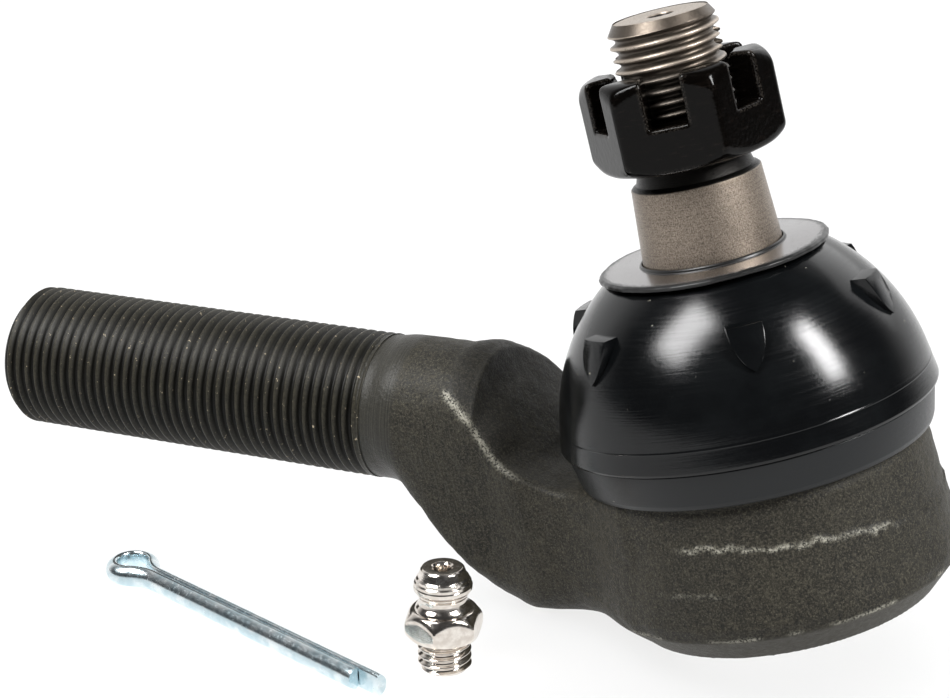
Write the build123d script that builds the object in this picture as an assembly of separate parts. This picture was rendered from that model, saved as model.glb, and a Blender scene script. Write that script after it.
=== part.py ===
from build123d import *
import os
from math import atan2, cos, degrees, radians, sin, sqrt

# Greasable tie rod end. Millimetres. The origin is the ball centre and +Z is up. The piece
# lies as it comes to rest on a flat surface: the threaded shank is level and points towards
# -X, and the socket stands on the edge of its rim and on the belly of the neck, with its
# axis leaning back by shank_tilt. The cotter pin and the grease fitting lie loose beside it.
# Each piece of the joint is drawn with the socket's axis along +Z, which is what the heights
# and places below refer to, and is leaned at the end. The loose pieces are not leaned.

# ---- driving dimensions ------------------------------------------------------------
base_z = -17.0            # flat rim under the socket
ball_r = 13.5             # half ball bearing and stud head
seat_gap = 0.1            # running clearance of the ball in its seats
fit_gap = 0.05            # clearance between parts that are assembled together

shank_r = 9.97            # M20 x 1.5 external thread, crest radius
shank_pitch = 1.5
shank_depth = 0.81        # thread depth
shank_tilt = 13.9         # degrees from the socket's base plane up to the shank's axis
shank_rise = 1.7          # height of the shank's axis where it crosses the socket axis
shank_reach = 110.6       # socket axis to the free end, along the shank
thread_length = 57.0
collar_length = 6.0       # smooth turned collar behind the thread
collar_r = 9.8

socket_rim_r = 19.4       # rolled rim around the cover plate
socket_low_r = 22.9       # top of the rim's chamfer
socket_r = 23.1
socket_top_r = 21.7       # under the boot's skirt
socket_top_z = 8.5
bore_r = 16.0
plate_r = 17.3
neck_half_width = 9.5
neck_blend_r = 12.0       # fillet between the neck's sides and the socket, in plan

boot_base_z = 3.9         # lower edge of the boot's skirt
boot_bead_z = 9.2
boot_bead_r = 24.4
boot_wall = 1.7
disc_z = 29.0             # underside of the boot's sealing disc
disc_t = 0.8
disc_r = 14.65

stud_neck_r = 6.5
taper_low_r = 8.85        # 1:8 taper that seats in the steering arm
taper_low_z = 30.2
taper_high_r = 8.25
taper_high_z = 39.3
stud_thread_r = 6.9       # M14 x 1.5
stud_pitch = 1.5
stud_depth = 0.81
stud_thread_z = 42.4
stud_top_z = 60.3
cotter_hole_r = 1.75
cotter_hole_z = 55.9
cotter_hole_turn = 18.0   # degrees about the stud

nut_flats = 21.6
nut_bore_r = 7.0
nut_z = 42.3
nut_height = 11.8
nut_slot_width = 4.8
nut_slot_depth = 6.2
nut_turn = -18.0          # degrees about the stud

pin_r = 1.6               # cotter pin, 3.2 mm
pin_long = 50.0           # from the centre of its eye
pin_short = 46.5
pin_place = (-83.6, -20.3)
pin_turn = -20.8

fitting_place = (-32.7, -27.3)
fitting_thread_r = 3.4    # M7 x 1 thread
fitting_pitch = 1.0
fitting_flats = 9.0
fitting_height = 14.0
fitting_turn = 11.0
check_ball_r = 1.15
fitting_bore_r = 1.4

port_r = 3.0              # tapping size of the grease port in the cover plate
port_length = 3.4

# the flat surface that the leaning socket and the loose pieces rest on
floor_z = -(socket_rim_r * sin(radians(shank_tilt)) - base_z * cos(radians(shank_tilt)))


# ---- helpers -----------------------------------------------------------------------
def turned(points):
    """A solid turned about Z from (radius, height) corners."""
    outline = Polyline(*points, close=True)
    return revolve(Plane.XZ * make_face(outline), Axis.Z)


def ring_thread(crest_r, pitch, depth, start, length):
    """(radius, height) corners of annular thread rings, from start upwards."""
    crest = pitch / 8
    flank = (pitch - crest - pitch / 4) / 2
    points = []
    for turn in range(int(length / pitch)):
        z = start + turn * pitch
        points += [
            (crest_r - depth, z + pitch / 8),
            (crest_r, z + pitch / 8 + flank),
            (crest_r, z + pitch / 8 + flank + crest),
            (crest_r - depth, z + pitch - pitch / 8),
        ]
    return points


def sphere_r(radius, height):
    """Radius of a sphere's section at a height above its centre."""
    return sqrt(radius**2 - height**2)


def ball_zone(radius, low, high):
    """A slice of a ball about the origin."""
    slab = Pos(0, 0, (low + high) / 2) * Box(4 * radius, 4 * radius, high - low)
    return Sphere(radius) & slab


def hexagon(flats, low, high):
    """A hexagonal bar with two of its flats square to X."""
    outline = RegularPolygon(flats / 2, 6, major_radius=False, rotation=30)
    return Pos(0, 0, low) * extrude(outline, high - low)


def on_shank(solid):
    """Place a solid whose +Z runs from the shank's free end towards the socket."""
    tilt = radians(shank_tilt)
    end = (-shank_reach * cos(tilt), 0, shank_rise + shank_reach * sin(tilt))
    return Plane(origin=end, x_dir=(0, 1, 0), z_dir=(cos(tilt), 0, -sin(tilt))) * solid


# ---- socket and shank --------------------------------------------------------------
def shank():
    chamfer = 1.2
    rings = ring_thread(shank_r, shank_pitch, shank_depth, chamfer, thread_length - chamfer)
    root = shank_r - shank_depth
    thread_end = thread_length + 0.4
    collar_end = thread_length + collar_length
    outline = [(0, 0), (root - 0.6, 0), (root, 0.7)] + rings
    outline += [(root, thread_end - 0.9), (collar_r, thread_end), (collar_r, collar_end)]
    outline += [(collar_r - 1, collar_end + 10), (0, collar_end + 10)]
    return on_shank(turned(outline))


def neck_profile():
    """The forged neck seen from the side, in X and Z."""
    under = [(-47.5, 4.6), (-45.8, 1.4), (-41.6, -5.3)]
    belly = ThreePointArc((-41.6, -5.3), (-38.1, -10.3), (-32.2, -13.8))
    sole = Polyline((-32.2, -13.8), (-20.0, -14.6), (-12.0, -14.6), (-12.0, 4.0), (-22.5, 3.6))
    foot = ThreePointArc((-22.5, 3.6), (-25.2, 4.6), (-27.2, 6.8))
    ramp = Line((-27.2, 6.8), (-34.6, 19.3))
    brow = ThreePointArc((-34.6, 19.3), (-36.8, 21.4), (-40.2, 22.3))
    back = Polyline((-40.2, 22.3), (-48.2, 24.0), (-52.4, 14.6), (-47.5, 4.6))
    return make_face(Polyline(*under) + belly + sole + foot + ramp + brow + back)


def neck_plan():
    """The forged neck seen from above: parallel sides that flare into the round socket."""
    reach = socket_top_r + neck_blend_r
    bend_x = -sqrt(reach**2 - (neck_half_width + neck_blend_r) ** 2)
    turn = atan2(neck_half_width + neck_blend_r, bend_x)
    touch = (socket_top_r * cos(turn), socket_top_r * sin(turn))
    centre = (bend_x, neck_half_width + neck_blend_r)
    middle_turn = (radians(-90) + turn - radians(180)) / 2
    middle = (
        centre[0] + neck_blend_r * cos(middle_turn),
        centre[1] + neck_blend_r * sin(middle_turn),
    )
    tangent = (bend_x, neck_half_width)
    side = ThreePointArc(tangent, middle, touch)
    other = mirror(side, Plane.XZ)
    front = Polyline(touch, (0, touch[1]), (0, -touch[1]), (touch[0], -touch[1]))
    rear = Polyline(
        (bend_x, -neck_half_width), (-60, -neck_half_width), (-60, neck_half_width), tangent
    )
    return make_face(side + front + other + rear)


def neck_flare():
    """A cone about the shank that opens towards the socket, and rounds off the neck's corners."""
    start = thread_length + collar_length - 0.3
    flare = turned([
        (0, start), (collar_r, start), (collar_r + 30, start + 22), (collar_r + 30, 150), (0, 150),
    ])
    return on_shank(flare)


def neck():
    side_view = Plane.XZ * neck_profile()
    slab = extrude(side_view, 30, both=True)
    column = Pos(0, 0, -40) * extrude(neck_plan(), 90)
    return slab & column & neck_flare()


def socket_body():
    return turned([
        (0, base_z),
        (socket_rim_r, base_z),
        (socket_low_r, base_z + 3.6),
        (socket_r, base_z + 5.2),
        (socket_top_r + 0.2, 2.6),
        (socket_top_r, 3.4),
        (socket_top_r, socket_top_z - 0.8),
        (socket_top_r - 0.8, socket_top_z),
        (0, socket_top_z),
    ])


def socket_hollow():
    """The bored inside of the socket, from the rolled rim to the flared mouth."""
    plate_low = base_z + 1.0
    plate_high = base_z + 3.4
    return turned([
        (0, base_z - 1),
        (plate_r - 1.2, base_z - 1),
        (plate_r - 1.2, plate_low),
        (plate_r + fit_gap, plate_low),
        (plate_r + fit_gap, plate_high + fit_gap),
        (bore_r, plate_high + fit_gap),
        (bore_r, 6.0 + fit_gap),
        (12.9, 6.0 + fit_gap),
        (13.9, socket_top_z + 0.01),
        (0, socket_top_z + 0.01),
    ])


def forged_housing():
    return shank() + neck() + socket_body() - socket_hollow()


def upper_bearing():
    ring = turned([(11, -1.2), (bore_r - fit_gap, -1.2), (bore_r - fit_gap, 6.0), (11, 6.0)])
    return ring - Sphere(ball_r + seat_gap)


def lower_bearing():
    cup = turned([
        (2.0, -11.9), (13.6, -11.9), (bore_r - 0.15, -10.2), (bore_r - 0.15, -1.6), (2.0, -1.6),
    ])
    return cup - ball_zone(ball_r + seat_gap, -10.5, 5)


def preload_spring():
    low = base_z + 3.4 + fit_gap
    return turned([(6.0, low + 0.85), (14.0, low), (14.0, low + 0.7), (6.0, low + 1.55)])


def cover_plate():
    low = base_z + 1.0
    plate = turned([
        (0, low - 0.8), (4.6, low - 0.8), (5.4, low), (plate_r, low), (plate_r, low + 2.4),
        (5.0, low + 2.4), (4.4, low + port_length - 0.8), (0, low + port_length - 0.8),
    ])
    return plate - Pos(0, 0, low) * Cylinder(port_r, 4 * port_length)


# ---- boot --------------------------------------------------------------------------
def dust_boot():
    """Domed boot: a plain skirt on the socket, a bead and a dome that closes on the stud."""
    skirt_in = socket_top_r + fit_gap
    top_z = disc_z - 0.3
    outside = Polyline((skirt_in, boot_base_z), (22.7, boot_base_z), (23.1, boot_base_z + 0.6),
                       (23.8, boot_bead_z - 0.3), (boot_bead_r, boot_bead_z),
                       (boot_bead_r, boot_bead_z + 0.7))
    dome = ThreePointArc((boot_bead_r, boot_bead_z + 0.7), (20.8, 20.5), (13.9, top_z))
    lid = Polyline((13.9, top_z), (9.4, top_z), (9.4, top_z - boot_wall), (12.9, top_z - boot_wall))
    inside = ThreePointArc((12.9, top_z - boot_wall), (19.2, 19.7), (22.4, boot_bead_z + 0.7))
    close = Polyline((22.4, boot_bead_z + 0.7), (22.4, 8.2), (22.5, 8.0), (22.5, 5.2),
                     (skirt_in, 5.2), (skirt_in, boot_base_z))
    return revolve(Plane.XZ * make_face(outside + dome + lid + inside + close), Axis.Z)


def boot_retaining_ring():
    """Flat steel ring snapped inside the skirt, tight on the socket."""
    low = 5.2 + fit_gap
    return turned([(socket_top_r + 0.02, low), (22.45, low), (22.45, 7.9), (socket_top_r + 0.02, 7.9)])


def boot_sealing_disc():
    return turned([(9.2, disc_z), (disc_r, disc_z), (disc_r, disc_z + disc_t), (9.2, disc_z + disc_t)])


# ---- stud and nut ------------------------------------------------------------------
def stud_blank():
    head_flat = -5.5
    root = stud_thread_r - stud_depth
    rings = ring_thread(stud_thread_r, stud_pitch, stud_depth, stud_thread_z, 16.0)
    shaft = turned(
        [(0, -2), (stud_neck_r, -2), (stud_neck_r, 14.0), (taper_low_r, 27.0),
         (taper_low_r, taper_low_z), (taper_high_r, taper_high_z), (7.2, taper_high_z + 1.3),
         (root, taper_high_z + 1.8), (root, stud_thread_z)]
        + rings
        + [(stud_thread_r, stud_top_z - 1.3), (5.9, stud_top_z), (0, stud_top_z)]
    )
    return ball_zone(ball_r, head_flat, 0) + shaft


def cotter_bore():
    return Rot(0, 0, cotter_hole_turn) * Pos(0, 0, cotter_hole_z) * Rot(0, 90, 0) * Cylinder(
        cotter_hole_r, 30
    )


def centre_drill():
    return turned([
        (0, stud_top_z - 1.9), (1.0, stud_top_z - 1.6), (1.0, stud_top_z - 1.2),
        (1.7, stud_top_z), (1.7, stud_top_z + 1), (0, stud_top_z + 1),
    ])


def ball_stud():
    return stud_blank() - cotter_bore() - centre_drill()


def half_ball_bearing():
    zone = ball_zone(ball_r, 0.1, 10.8)
    return zone - Cylinder(stud_neck_r + fit_gap, 60)


def castle_nut():
    top = nut_z + nut_height
    corner_r = nut_flats / sqrt(3)
    chamfered = turned([
        (nut_bore_r, nut_z), (nut_flats / 2 - 0.4, nut_z), (corner_r, nut_z + 1.1),
        (corner_r, top - 1.0), (nut_flats / 2 - 0.6, top), (nut_bore_r, top),
    ])
    body = chamfered & hexagon(nut_flats, nut_z, top)
    slot = Pos(0, 0, top - nut_slot_depth / 2) * Box(60, nut_slot_width, nut_slot_depth)
    for side in range(3):
        body -= Rot(0, 0, 60 * side) * slot
    return Rot(0, 0, nut_turn) * body


# ---- loose pieces, lying beside the socket -----------------------------------------
def cotter_pin():
    """Half-round wire folded back on itself: a round eye and two legs of different length."""
    half_gap = 0.06
    eye_r = 2.1
    bend_r = 5.0
    bend_x = sqrt((eye_r + bend_r) ** 2 - (half_gap + bend_r) ** 2)
    share = eye_r / (eye_r + bend_r)
    meet = (bend_x * share, (half_gap + bend_r) * share)
    bend_turn = radians((270 + degrees(atan2(-meet[1], -meet[0])) % 360) / 2 - 360)
    middle = (bend_x + bend_r * cos(bend_turn), half_gap + bend_r + bend_r * sin(bend_turn))
    upper = ThreePointArc((bend_x, half_gap), middle, meet)
    eye = ThreePointArc(meet, (-eye_r, 0), (meet[0], -meet[1]))
    lower = mirror(upper, Plane.XZ)
    path = Line((pin_long, half_gap), (bend_x, half_gap)) + upper + eye + lower
    path += Line((bend_x, -half_gap), (pin_short, -half_gap))
    start = Plane(origin=(pin_long, half_gap, 0), x_dir=(0, 1, 0), z_dir=(-1, 0, 0))
    half = Circle(pin_r) & (Pos(pin_r, 0) * Rectangle(2 * pin_r, 4 * pin_r))
    pin = sweep(start * half, path)
    return Pos(*pin_place, floor_z + pin_r) * Rot(0, 0, pin_turn) * pin


def on_floor(solid):
    return Pos(*fitting_place, floor_z) * Rot(0, 0, fitting_turn) * solid


def grease_fitting():
    """Fitting body: thread, hexagon, waist and the barrel-shaped head."""
    root = fitting_thread_r - 0.55
    rings = ring_thread(fitting_thread_r, fitting_pitch, 0.55, 0.4, 4.0)
    body = turned(
        [(0, 0), (root - 0.2, 0), (root, 0.4)] + rings
        + [(root, 4.4), (4.0, 4.5), (4.0, 8.4), (3.2, 9.0), (2.8, 9.8), (2.95, 10.4),
           (3.5, 11.0), (3.7, 11.6), (3.5, 12.3), (2.7, fitting_height), (0, fitting_height)]
    )
    corner_r = fitting_flats / sqrt(3)
    flats = turned([(0, 4.5), (4.0, 4.5), (corner_r, 5.1), (corner_r, 7.5), (3.8, 8.4), (0, 8.4)])
    body += flats & hexagon(fitting_flats, 4.5, 8.4)
    bore = turned([
        (0, -1), (1.0, -1), (1.0, 0.6), (fitting_bore_r, 0.9), (fitting_bore_r, 12.3),
        (0.9, 13.0), (1.05, fitting_height), (1.05, fitting_height + 1), (0, fitting_height + 1),
    ])
    return on_floor(body - bore)


def fitting_check_ball():
    return on_floor(Pos(0, 0, 11.58) * Sphere(check_ball_r))


def fitting_spring():
    """Coil under the check ball, drawn as a stack of wire rings."""
    wire_r = 0.18
    low, high = 1.15, 10.2
    turns = 12
    step = (high - low) / (turns - 1)
    rings = Sketch() + [
        Pos(fitting_bore_r - 0.35, low + turn * step) * Circle(wire_r) for turn in range(turns)
    ]
    spine = Pos(fitting_bore_r - 0.35, (low + high) / 2) * Rectangle(0.12, high - low)
    return on_floor(revolve(Plane.XZ * (rings + spine), Axis.Z))


JOINT_PIECES = {
    "forged_housing": forged_housing,
    "upper_bearing": upper_bearing,
    "lower_bearing": lower_bearing,
    "preload_spring": preload_spring,
    "cover_plate": cover_plate,
    "dust_boot": dust_boot,
    "boot_retaining_ring": boot_retaining_ring,
    "boot_sealing_disc": boot_sealing_disc,
    "half_ball_bearing": half_ball_bearing,
    "ball_stud": ball_stud,
    "castle_nut": castle_nut,
}
LOOSE_PIECES = {
    "cotter_pin": cotter_pin,
    "grease_fitting": grease_fitting,
    "fitting_check_ball": fitting_check_ball,
    "fitting_spring": fitting_spring,
}

os.makedirs("parts", exist_ok=True)
for name, make in JOINT_PIECES.items():
    export_step(Rot(0, -shank_tilt, 0) * make(), f"parts/{name}.step")
for name, make in LOOSE_PIECES.items():
    export_step(make(), f"parts/{name}.step")
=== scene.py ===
import math

import bmesh
import bpy
import numpy as np
from mathutils import Matrix, Vector


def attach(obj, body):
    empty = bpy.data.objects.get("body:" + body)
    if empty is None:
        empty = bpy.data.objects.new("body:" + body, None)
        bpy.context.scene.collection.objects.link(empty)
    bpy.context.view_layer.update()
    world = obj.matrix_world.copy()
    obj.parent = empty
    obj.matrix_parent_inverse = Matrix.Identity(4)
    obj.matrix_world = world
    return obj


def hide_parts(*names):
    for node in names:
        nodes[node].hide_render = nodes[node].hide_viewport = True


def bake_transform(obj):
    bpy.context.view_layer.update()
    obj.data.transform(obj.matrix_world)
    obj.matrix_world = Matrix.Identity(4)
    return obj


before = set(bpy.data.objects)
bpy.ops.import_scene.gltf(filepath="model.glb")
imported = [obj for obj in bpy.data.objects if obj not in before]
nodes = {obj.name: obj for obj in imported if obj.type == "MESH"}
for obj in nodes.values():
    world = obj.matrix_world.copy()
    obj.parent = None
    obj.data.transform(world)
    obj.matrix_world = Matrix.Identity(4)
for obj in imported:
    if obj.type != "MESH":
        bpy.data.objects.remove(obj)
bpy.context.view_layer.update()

# Lengths are in mm. Pieces are made about the socket's own axis and then leaned back with it.
MM = 0.001
BASE = -17.0  # height of the flat rim under the socket
RIM_RADIUS = 19.4
TILT = math.radians(13.9)
LEAN = Matrix.Rotation(-TILT, 4, "Y")
FLOOR = -RIM_RADIUS * math.sin(TILT) + BASE * math.cos(TILT)
SHANK_REACH, SHANK_RISE = 110.6, 1.7
SHANK_TIP = (-SHANK_REACH * math.cos(TILT), SHANK_RISE + SHANK_REACH * math.sin(TILT))  # its x and z
THREAD_PITCH = 1.5  # of the shank and of the stud
STUD_TOP = 60.3
HOLE_RADIUS, HOLE_HEIGHT, HOLE_TURN = 1.75, 55.9, 18
NUT_TOP, NUT_FOOT, NUT_TURN = 54.1, 42.3, -18
SOFTBOX_AIM = Vector((-0.02, 0, 0.01))



# ---- camera, floor and light ----
def link_new(name, data):
    """A new object in the scene that shows the data."""
    thing = bpy.data.objects.new(name, data)
    bpy.context.scene.collection.objects.link(thing)
    return thing


def look_frame(azimuth, elevation, roll):
    """Right, up and back vectors of a camera that looks from azimuth, elevation."""
    a, e, r = math.radians(azimuth), math.radians(elevation), math.radians(roll)
    back = Vector((math.sin(a) * math.cos(e), -math.cos(a) * math.cos(e), math.sin(e)))
    level = Vector((math.cos(a), math.sin(a), 0))
    upright = back.cross(level)
    right = math.cos(r) * level + math.sin(r) * upright
    up = -math.sin(r) * level + math.cos(r) * upright
    return right, up, back


def add_camera():
    right, up, back = look_frame(24.92, 19.76, -1.16)
    target = Vector((-38.92, -2.94, 12.72))
    place = (target + 302.8 * back) * MM
    data = bpy.data.cameras.new("camera")
    data.sensor_width = 36.0
    data.lens = 86.83
    data.clip_start = 0.01
    data.clip_end = 60.0
    camera = link_new("camera", data)
    turn = Matrix((right, up, back)).transposed().to_4x4()
    camera.matrix_world = Matrix.Translation(place) @ turn
    bpy.context.scene.camera = camera


def add_lamp(name, kind, power, way, place=(0, 0, 0)):
    data = bpy.data.lights.new(name, kind)
    data.energy = power
    lamp = link_new(name, data)
    lamp.matrix_world = Matrix.Translation(place) @ way.to_track_quat("Z", "Y").to_matrix().to_4x4()
    return lamp


def add_softbox(name, direction, distance, size, power):
    """A rectangular lamp. Its size and distance are in metres."""
    way = LEAN @ Vector(direction).normalized()
    lamp = add_lamp(name, "AREA", power, way, SOFTBOX_AIM + distance * way)
    lamp.data.shape = "RECTANGLE"
    lamp.data.size, lamp.data.size_y = size
    return lamp


def add_sun(name, direction, strength, angle):
    lamp = add_lamp(name, "SUN", strength, Vector(direction))
    lamp.data.angle = math.radians(angle)
    return lamp


def share_light(lamp, thing, state):
    """Light only the given thing, or everything but it."""
    group = bpy.data.collections.new(lamp.name + "_lit")
    group.objects.link(thing)
    lamp.light_linking.receiver_collection = group
    for entry in group.collection_objects:
        entry.light_linking.link_state = state


def add_world():
    """A dark room with a white backdrop behind the object, low down."""
    world = bpy.data.worlds.new("studio")
    bpy.context.scene.world = world
    world.use_nodes = True
    tree = world.node_tree
    sky = tree.nodes["Background"]
    coords = tree.nodes.new("ShaderNodeTexCoord")
    facing = tree.nodes.new("ShaderNodeVectorMath")
    facing.operation = "DOT_PRODUCT"
    facing.inputs[1].default_value = (-0.42, 0.88, -0.20)
    ramp = tree.nodes.new("ShaderNodeValToRGB")
    tree.links.new(coords.outputs["Generated"], facing.inputs[0])
    tree.links.new(facing.outputs["Value"], ramp.inputs[0])
    ramp.color_ramp.elements[0].position = 0.15
    ramp.color_ramp.elements[0].color = (0.055, 0.056, 0.058, 1)
    ramp.color_ramp.elements[1].position = 0.55
    ramp.color_ramp.elements[1].color = (0.95, 0.95, 0.95, 1)
    tree.links.new(ramp.outputs[0], sky.inputs[0])
    sky.inputs[1].default_value = 1.0


# ---- materials ----
class Paint:
    """Writes node materials. Texture space is in mm, with Z along the socket's axis if it leans."""

    def __init__(self, name, leans=True):
        self.material = bpy.data.materials.new(name)
        self.material.use_nodes = True
        self.tree = self.material.node_tree
        self.shader = self.tree.nodes["Principled BSDF"]
        coords = self.tree.nodes.new("ShaderNodeTexCoord").outputs["Object"]
        self.mm = self.row = self.vector("SCALE", coords, scale=1000.0)
        if leans:
            along = self.vector("DOT_PRODUCT", self.mm, (math.cos(TILT), 0, math.sin(TILT)))
            up = self.vector("DOT_PRODUCT", self.mm, (-math.sin(TILT), 0, math.cos(TILT)))
            self.mm = self.join(along, self.split(self.mm)[1], up)
        self.height = self.colour = None

    def put(self, socket, value):
        """Link a socket to another one, or set it to a number, a vector or a colour."""
        if isinstance(value, bpy.types.NodeSocket):
            self.tree.links.new(value, socket)
        else:
            socket.default_value = (*value, 1) if socket.type == "RGBA" else value

    def add(self, kind, inputs=None, **props):
        node = self.tree.nodes.new("ShaderNode" + kind)
        for key, value in props.items():
            setattr(node, key, value)
        for key, value in (inputs or {}).items():
            if isinstance(key, str):
                self.put(next(k for k in node.inputs if k.name == key), value)
            else:
                self.put(node.inputs[key], value)
        return node

    def math(self, operation, a, b=0.0):
        return self.add("Math", {0: a, 1: b}, operation=operation).outputs[0]

    def times(self, a, b):
        return self.math("MULTIPLY", a, b)

    def vector(self, operation, a, b=(0, 0, 0), scale=1.0):
        inputs = {0: a, "Scale": scale} if operation == "SCALE" else {0: a, 1: b}
        node = self.add("VectorMath", inputs, operation=operation)
        return node.outputs["Value" if operation in ("LENGTH", "DOT_PRODUCT") else "Vector"]

    def stretched(self, factors):
        return self.vector("MULTIPLY", self.mm, factors)

    def split(self, vector):
        return self.add("SeparateXYZ", {0: vector}).outputs

    def join(self, x, y, z):
        return self.add("CombineXYZ", {0: x, 1: y, 2: z}).outputs[0]

    def radius(self):
        """Distance from the vertical axis."""
        x, y = self.split(self.mm)[:2]
        return self.vector("LENGTH", self.join(x, y, 0.0))

    def noise(self, scale, detail=3.0, rough=0.55, vector=None):
        place = self.mm if vector is None else vector
        inputs = {"Vector": place, "Scale": scale, "Detail": detail, "Roughness": rough}
        return self.add("TexNoise", inputs).outputs[0]

    def layers(self, scale, detail, rough):
        """Noise that changes with height only, which draws rings on a turned piece."""
        height = self.times(self.split(self.mm)[2], scale)
        return self.noise(1.0, detail, rough, self.join(0.0, 0.0, height))

    def cells(self, scale, vector=None):
        place = self.mm if vector is None else vector
        return self.add("TexVoronoi", {"Vector": place, "Scale": scale}).outputs["Distance"]

    def span(self, value, low, high, to_low=0.0, to_high=1.0):
        inputs = {"Value": value, 1: low, 2: high, 3: to_low, 4: to_high}
        return self.add("MapRange", inputs, interpolation_type="SMOOTHSTEP").outputs[0]

    def mix(self, factor, a, b):
        """a where factor is 0 and b where it is 1, for colours."""
        return self.add("Mix", {0: factor, 6: a, 7: b}, data_type="RGBA").outputs[2]

    def coat(self, factor, colour):
        """Lay a colour over the one that is there, where factor is 1."""
        self.colour = self.mix(factor, self.colour, colour)

    def blend(self, factor, a, b):
        """a where factor is 0 and b where it is 1, for plain numbers."""
        return self.add("Mix", {0: factor, 2: a, 3: b}, data_type="FLOAT").outputs[0]

    def mask(self, name):
        return self.add("Attribute", attribute_name=name).outputs["Fac"]

    def bump(self, value, depth_mm, strength=1.0):
        """Add a height in mm to the surface."""
        inputs = {"Height": value, "Distance": depth_mm * MM, "Strength": strength}
        if self.height is not None:
            inputs["Normal"] = self.height
        self.height = self.add("Bump", inputs).outputs[0]

    def finish(self, rough, metallic=0.0, **constants):
        values = {"Base Color": self.colour, "Roughness": rough, "Metallic": metallic}
        for name, value in constants.items():
            values[name.replace("_", " ")] = value
        if self.height is not None:
            values["Normal"] = self.height
        for name, value in values.items():
            self.put(self.shader.inputs[name], value)
        return self.material


def forged_steel():
    p = Paint("forged_steel")
    sand = p.noise(6.0, 3.0, 0.7)
    fine = p.noise(3.4, 4.0, 0.7)
    grain = p.noise(1.5, 4.0, 0.6)
    patch = p.noise(0.16, 4.0, 0.6)
    pits = p.cells(2.6)
    p.colour = p.mix(p.span(patch, 0.35, 0.68), (0.0100, 0.0090, 0.0062), (0.0185, 0.0165, 0.0110))
    p.coat(p.span(grain, 0.46, 0.70), (0.030, 0.0265, 0.0185))
    p.coat(p.span(fine, 0.52, 0.62), (0.047, 0.042, 0.030))
    p.coat(p.span(sand, 0.57, 0.66), (0.085, 0.078, 0.056))
    p.coat(p.span(fine, 0.45, 0.38), (0.0045, 0.0042, 0.0030))
    p.coat(p.span(pits, 0.16, 0.02), (0.004, 0.004, 0.003))
    # Painted shade: the scale mask darkens the sloping face from the neck's crown down to the socket, where
    # shade falls.
    scale = p.mask("scale")
    p.coat(p.times(scale, 0.48), (0.0035, 0.0034, 0.0026))
    shear = p.mask("shear")
    scratch = p.noise(1.0, 4.0, 0.7, p.stretched((4.5, 4.5, 0.22)))
    lines = p.times(p.span(scratch, 0.50, 0.70), shear)
    p.coat(p.times(lines, 0.45), (0.062, 0.059, 0.046))
    turned = p.mask("turned")
    rings = p.layers(5.0, 3.0, 0.6)
    bright = p.mix(rings, (0.030, 0.027, 0.021), (0.066, 0.061, 0.048))
    p.coat(p.times(turned, 0.8), bright)
    collar = p.mask("collar")
    cuts = p.noise(1.0, 3.0, 0.6, p.join(p.times(p.split(p.row)[0], 5.5), 0.0, 0.0))
    sheen = p.mix(p.span(cuts, 0.38, 0.62), (0.014, 0.0135, 0.011), (0.040, 0.038, 0.031))
    p.coat(p.times(collar, 0.8), sheen)
    # Real chips and wear, and a painted highlight along the neck's ridge: this one bright colour paints both.
    wear = p.mask("wear")
    chips_and_highlight = p.times(wear, p.span(fine, 0.40, 0.56))
    p.coat(chips_and_highlight, (0.40, 0.385, 0.32))
    rough = p.span(grain, 0.3, 0.8, 0.50, 0.66)
    rough = p.blend(collar, rough, 0.40)
    rough = p.blend(chips_and_highlight, rough, 0.36)
    p.bump(grain, 0.10, 0.8)
    p.bump(fine, 0.07, 0.9)
    p.bump(p.times(scratch, shear), 0.10, 0.7)
    p.bump(p.times(cuts, collar), 0.03, 0.7)
    return p.finish(rough, Specular_IOR_Level=0.27)


def thread_steel():
    p = Paint("thread_steel")
    fine = p.noise(3.0, 4.0, 0.65)
    patch = p.noise(0.20, 3.0, 0.6)
    crest = p.mask("crest")
    p.colour = p.mix(p.span(patch, 0.35, 0.7), (0.0045, 0.0042, 0.0032), (0.0080, 0.0075, 0.0056))
    worn = p.times(crest, p.span(fine, 0.34, 0.62, 0.30, 1.0))
    p.coat(worn, (0.034, 0.031, 0.022))
    nicks = p.times(crest, p.span(p.noise(1.7, 3.0, 0.6), 0.66, 0.71))
    p.coat(nicks, (0.36, 0.30, 0.21))
    p.bump(fine, 0.02, 0.6)
    rough = p.blend(worn, 0.46, 0.36)
    return p.finish(rough, Specular_IOR_Level=0.20)


def machined_steel():
    """Turned steel: fine rings about the socket's axis."""
    p = Paint("machined_steel")
    z = p.split(p.mm)[2]
    rings = p.noise(1.0, 3.0, 0.7, p.join(p.times(p.radius(), 6.0), p.times(z, 6.0), 0.0))
    blotch = p.noise(0.45, 4.0, 0.6)
    p.colour = p.mix(p.span(rings, 0.35, 0.65), (0.13, 0.125, 0.115), (0.22, 0.21, 0.19))
    p.coat(p.span(blotch, 0.52, 0.7, 0.0, 0.7), (0.07, 0.065, 0.055))
    p.bump(rings, 0.03, 0.6)
    rough = p.span(blotch, 0.35, 0.7, 0.30, 0.45)
    return p.finish(rough, 0.8)


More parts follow.
